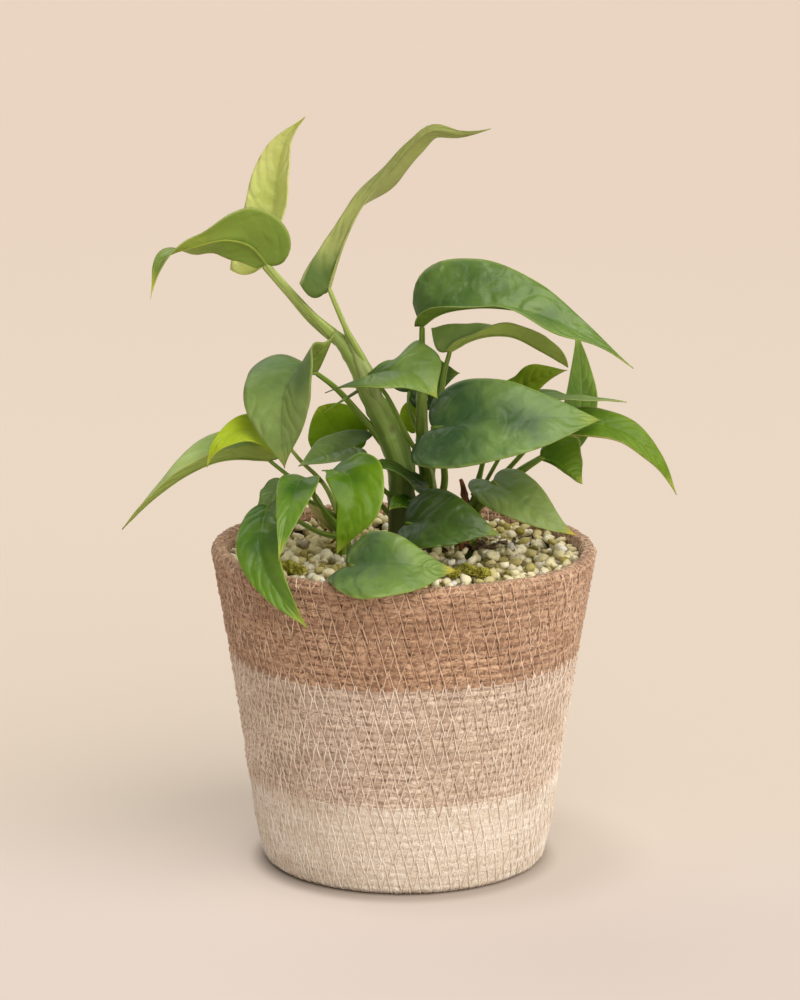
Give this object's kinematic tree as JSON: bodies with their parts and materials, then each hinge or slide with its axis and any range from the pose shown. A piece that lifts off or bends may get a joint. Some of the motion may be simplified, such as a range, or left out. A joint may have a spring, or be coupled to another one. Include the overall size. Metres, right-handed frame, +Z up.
{
  "type": "potted mini monstera",
  "caption": "Small climbing-arum houseplant of heart-shaped leaves on long stalks, rooted in gravel-topped soil inside a round stitched-cord basket with brown, tan and cream bands.",
  "frame": {"origin": "the basket's axis at the plane it stands on, under the centre of its flat base", "axes": "+Z up along the basket's axis; -Y towards the viewer of the picture; +X to the viewer's right"},
  "size_m": [0.216, 0.1635, 0.2931],
  "materials": {
    "brown_cord": "matte stitched cord",
    "cream_cord": "matte stitched cord",
    "dry_bract": "dry papery leaf sheath",
    "gravel": "rough, matte",
    "leaf_green": null,
    "plastic_film": "thin dark film",
    "potting_soil": null,
    "stem_green": null,
    "tan_cord": "matte stitched cord",
    "young_leaf": null
  },
  "bodies": {
    "root": {"basket_cream_band": "cream_cord", "basket_tan_band": "tan_cord", "basket_brown_band": "brown_cord", "basket_lining": "plastic_film", "potting_soil": "potting_soil", "gravel": "gravel", "main_stem": "stem_green", "centre_stem": "stem_green", "right_stem": "stem_green", "left_stem": "stem_green", "young_upright_leaf": "young_leaf", "young_hooked_leaf": "young_leaf", "tall_twisted_leaf": "leaf_green", "high_arched_leaf": "leaf_green", "low_arched_leaf": "leaf_green", "left_heart_leaf": "leaf_green", "saddle_leaf": "leaf_green", "large_front_leaf": "leaf_green", "front_centre_leaf": "leaf_green", "right_low_leaf": "leaf_green", "front_low_leaf": "leaf_green", "inner_drooping_leaf": "leaf_green", "rim_drooping_leaf": "leaf_green", "bright_front_leaf": "leaf_green", "far_left_leaf": "leaf_green", "left_yellow_leaf": "young_leaf", "left_round_leaf": "leaf_green", "left_grey_leaf": "leaf_green", "left_small_leaf": "leaf_green", "stem_foot_leaf": "leaf_green", "centre_dark_leaf": "leaf_green", "right_back_leaf": "leaf_green", "right_upright_leaf": "leaf_green", "right_drooping_leaf": "leaf_green", "right_slim_leaf": "leaf_green", "right_hooked_leaf": "leaf_green", "small_lime_leaf": "young_leaf", "small_glossy_leaf": "leaf_green", "dry_bract": "dry_bract"}
  },
  "joints": []
}
